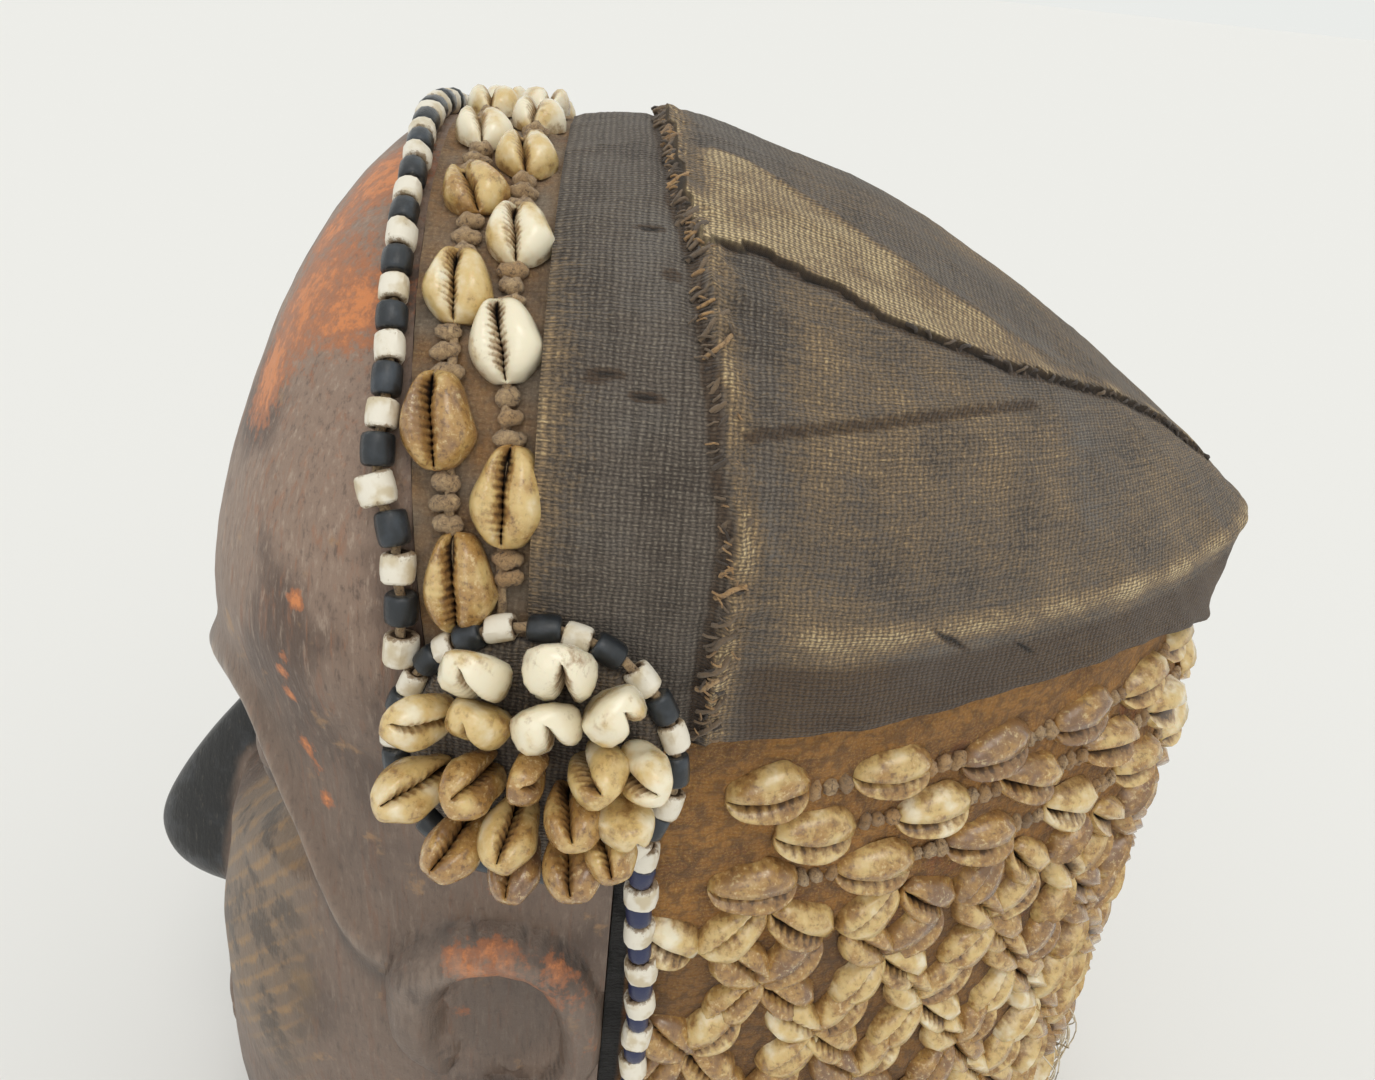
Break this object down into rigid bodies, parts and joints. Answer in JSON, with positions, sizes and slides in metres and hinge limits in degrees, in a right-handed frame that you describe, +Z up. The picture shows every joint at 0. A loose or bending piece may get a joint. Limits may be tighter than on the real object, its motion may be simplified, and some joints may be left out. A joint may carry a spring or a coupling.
{
  "type": "beaded helmet mask",
  "caption": "Carved wooden helmet mask with bulging forehead, raffia cloth cap and neck cloth, bead edging, cowrie shells and a shell rosette on each temple.",
  "frame": {"origin": "centre of the box on the flat rim that the mask stands on", "axes": "+Z up, the face looks along -Y, the mask's own left side is +X"},
  "size_m": [0.2766, 0.3414, 0.3821],
  "materials": {
    "carved_wood": "rubbed dark patina with orange pigment",
    "raffia_cloth": "coarse brown raffia weave",
    "dark_cloth": "worn dark plain weave",
    "glass_beads": "white and slate beads",
    "cowrie_shell": "polished cowrie shell with dirt in the slit"
  },
  "bodies": {
    "root": {"wooden_face": "carved_wood", "headband_cloth": "raffia_cloth", "cap_cloth": "dark_cloth", "neck_cloth": "raffia_cloth", "bead_edging": "glass_beads", "rosette_pad_left": "dark_cloth", "rosette_beads_left": "glass_beads", "rosette_shells_left": "cowrie_shell", "rosette_pad_right": "dark_cloth", "rosette_beads_right": "glass_beads", "rosette_shells_right": "cowrie_shell", "band_cowrie_01": "cowrie_shell", "band_cowrie_02": "cowrie_shell", "band_cowrie_03": "cowrie_shell", "band_cowrie_04": "cowrie_shell", "band_cowrie_05": "cowrie_shell", "band_cowrie_06": "cowrie_shell", "band_cowrie_07": "cowrie_shell", "band_cowrie_08": "cowrie_shell", "band_cowrie_09": "cowrie_shell", "band_cowrie_10": "cowrie_shell", "band_cowrie_11": "cowrie_shell", "band_cowrie_12": "cowrie_shell", "band_cowrie_13": "cowrie_shell", "band_cowrie_14": "cowrie_shell", "band_cowrie_15": "cowrie_shell", "band_cowrie_16": "cowrie_shell", "band_cowrie_17": "cowrie_shell", "band_cowrie_18": "cowrie_shell", "band_cowrie_19": "cowrie_shell", "band_cowrie_20": "cowrie_shell", "band_cowrie_21": "cowrie_shell"}
  },
  "joints": []
}
